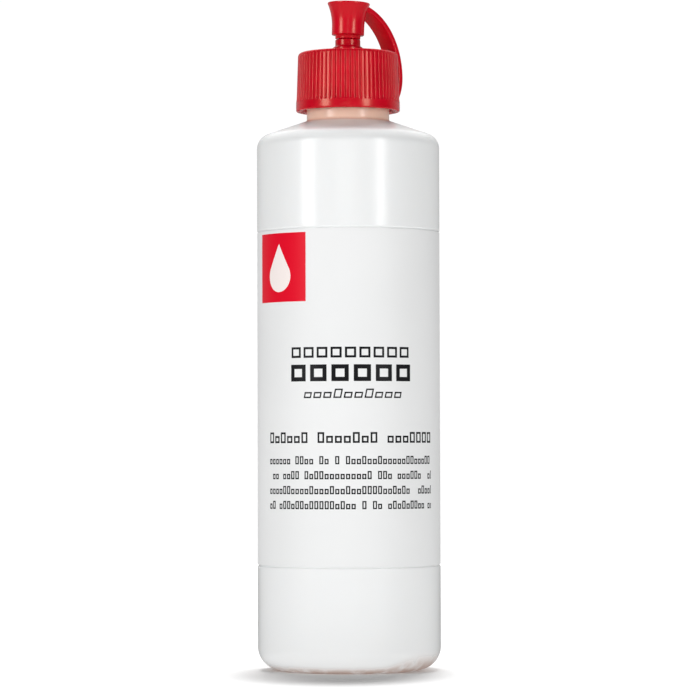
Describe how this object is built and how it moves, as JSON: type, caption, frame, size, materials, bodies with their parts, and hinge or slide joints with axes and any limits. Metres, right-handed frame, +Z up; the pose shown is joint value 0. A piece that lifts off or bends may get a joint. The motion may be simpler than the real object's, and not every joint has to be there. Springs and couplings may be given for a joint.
{
  "type": "glue applicator bottle",
  "caption": "Round white squeeze bottle with a wrap label, a ribbed red screw cap with a pouring nozzle, and a flared stopper on a curved strap.",
  "frame": {"origin": "middle of the base, on the surface that the bottle stands on", "axes": "+Z up along the bottle's axis; the printed front of the label faces -Y; the strap stands 35 degrees round from +X towards +Y"},
  "size_m": [0.05, 0.05, 0.1823],
  "materials": {
    "bottle_plastic": "white blow-moulded polyethylene, glossy and slightly translucent",
    "label_film": "white plastic film, satin, with printing",
    "washer_foam": "soft foamed polyethylene, matt",
    "red_plastic": "red injection-moulded polyethylene, glossy"
  },
  "bodies": {
    "bottle": {"bottle": "bottle_plastic", "label": "label_film"},
    "seal": {"sealing_washer": "washer_foam"},
    "cap": {"screw_cap": "red_plastic"},
    "strap_link_1": {"strap_link_1": "red_plastic"},
    "strap_link_2": {"strap_link_2": "red_plastic"},
    "strap_link_3": {"strap_link_3": "red_plastic"},
    "strap_link_4": {"strap_link_4": "red_plastic"},
    "stopper": {"stopper": "red_plastic"}
  },
  "joints": [
    {"name": "cap_lift", "type": "slide", "parent": "bottle", "child": "seal", "axis": [0, 0, 1], "range_m": [0, 0.01429]},
    {"name": "cap_turn", "type": "hinge", "parent": "seal", "child": "cap", "pos_m": [0, 0, 0.1528], "axis": [0, 0, 1], "range_deg": [0, 1620]},
    {"name": "strap_bend_1", "type": "hinge", "parent": "cap", "child": "strap_link_1", "pos_m": [0.01347, 0.00943, 0.1634], "axis": [-0.5736, 0.8192, 0], "range_deg": [0, 33]},
    {"name": "strap_bend_2", "type": "hinge", "parent": "strap_link_1", "child": "strap_link_2", "pos_m": [0.01283, 0.00898, 0.16887], "axis": [-0.5736, 0.8192, 0], "range_deg": [0, 33]},
    {"name": "strap_bend_3", "type": "hinge", "parent": "strap_link_2", "child": "strap_link_3", "pos_m": [0.01133, 0.00793, 0.17359], "axis": [-0.5736, 0.8192, 0], "range_deg": [0, 33]},
    {"name": "strap_bend_4", "type": "hinge", "parent": "strap_link_3", "child": "strap_link_4", "pos_m": [0.00923, 0.00647, 0.17734], "axis": [-0.5736, 0.8192, 0], "range_deg": [0, 33]},
    {"name": "stopper_swing", "type": "hinge", "parent": "strap_link_4", "child": "stopper", "pos_m": [0.00658, 0.00461, 0.18024], "axis": [-0.5736, 0.8192, 0], "range_deg": [0, 33]}
  ],
  "couplings": [
    {"joint": "cap_turn", "follows": "cap_lift", "rad_per_m": 1979},
    {"joint": "strap_bend_1", "follows": "stopper_swing", "ratio": 1},
    {"joint": "strap_bend_2", "follows": "stopper_swing", "ratio": 1},
    {"joint": "strap_bend_3", "follows": "stopper_swing", "ratio": 1},
    {"joint": "strap_bend_4", "follows": "stopper_swing", "ratio": 1}
  ]
}
